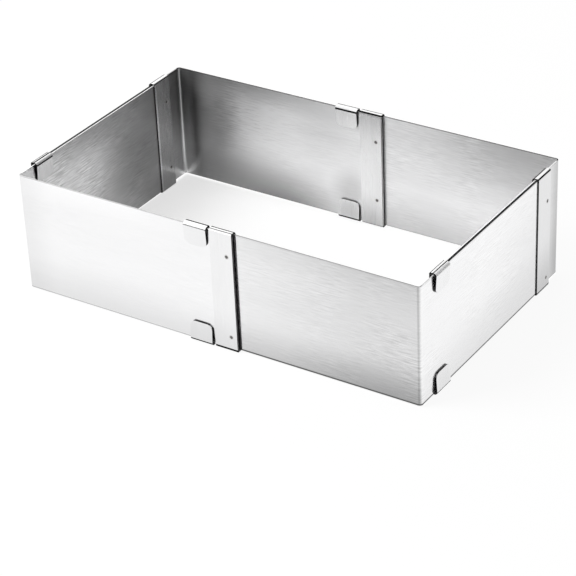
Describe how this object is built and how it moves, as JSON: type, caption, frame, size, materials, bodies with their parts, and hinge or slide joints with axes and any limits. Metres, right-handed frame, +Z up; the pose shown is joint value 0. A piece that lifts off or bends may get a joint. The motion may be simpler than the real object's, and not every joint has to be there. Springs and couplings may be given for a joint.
{
  "type": "adjustable cake frame",
  "caption": "Open rectangular cake and baking frame of L-shaped sheet steel panels that telescope in length and width, held by spot-welded spring clips.",
  "frame": {"origin": "on the surface the frame stands on, in the middle of the frame as stored", "axes": "+X along the long front wall to the right, +Y from the front wall to the back wall, +Z up"},
  "size_m": [0.3096, 0.1926, 0.0874],
  "materials": {
    "panel_steel": "stainless sheet with a fine brushed grain along each wall",
    "clip_steel": "stainless strip, brushed, with cut edges",
    "weld_steel": "dished spot weld, slightly darker from heat"
  },
  "bodies": {
    "front_left": {"front_left_panel": "panel_steel", "front_left_outer_clip": "clip_steel", "front_left_outer_welds": "weld_steel", "front_left_inner_clip": "clip_steel", "front_left_inner_welds": "weld_steel"},
    "front_right": {"front_right_panel": "panel_steel", "front_right_outer_clip": "clip_steel", "front_right_outer_welds": "weld_steel", "front_right_inner_clip": "clip_steel", "front_right_inner_welds": "weld_steel"},
    "back_right": {"back_right_panel": "panel_steel", "back_right_outer_clip": "clip_steel", "back_right_outer_welds": "weld_steel", "back_right_inner_clip": "clip_steel", "back_right_inner_welds": "weld_steel"},
    "back_left": {"back_left_panel": "panel_steel", "back_left_outer_clip": "clip_steel", "back_left_outer_welds": "weld_steel", "back_left_inner_clip": "clip_steel", "back_left_inner_welds": "weld_steel"}
  },
  "joints": [
    {"name": "front_wall_slide", "type": "slide", "parent": "front_left", "child": "front_right", "axis": [1, 0, 0], "range_m": [-0.129, 0.0018]},
    {"name": "left_wall_slide", "type": "slide", "parent": "front_left", "child": "back_left", "axis": [0, 1, 0], "range_m": [-0.012, 0.1188]},
    {"name": "right_wall_slide", "type": "slide", "parent": "front_right", "child": "back_right", "axis": [0, 1, 0], "range_m": [-0.012, 0.1188]}
  ],
  "couplings": [
    {"joint": "right_wall_slide", "follows": "left_wall_slide", "ratio": 1}
  ]
}
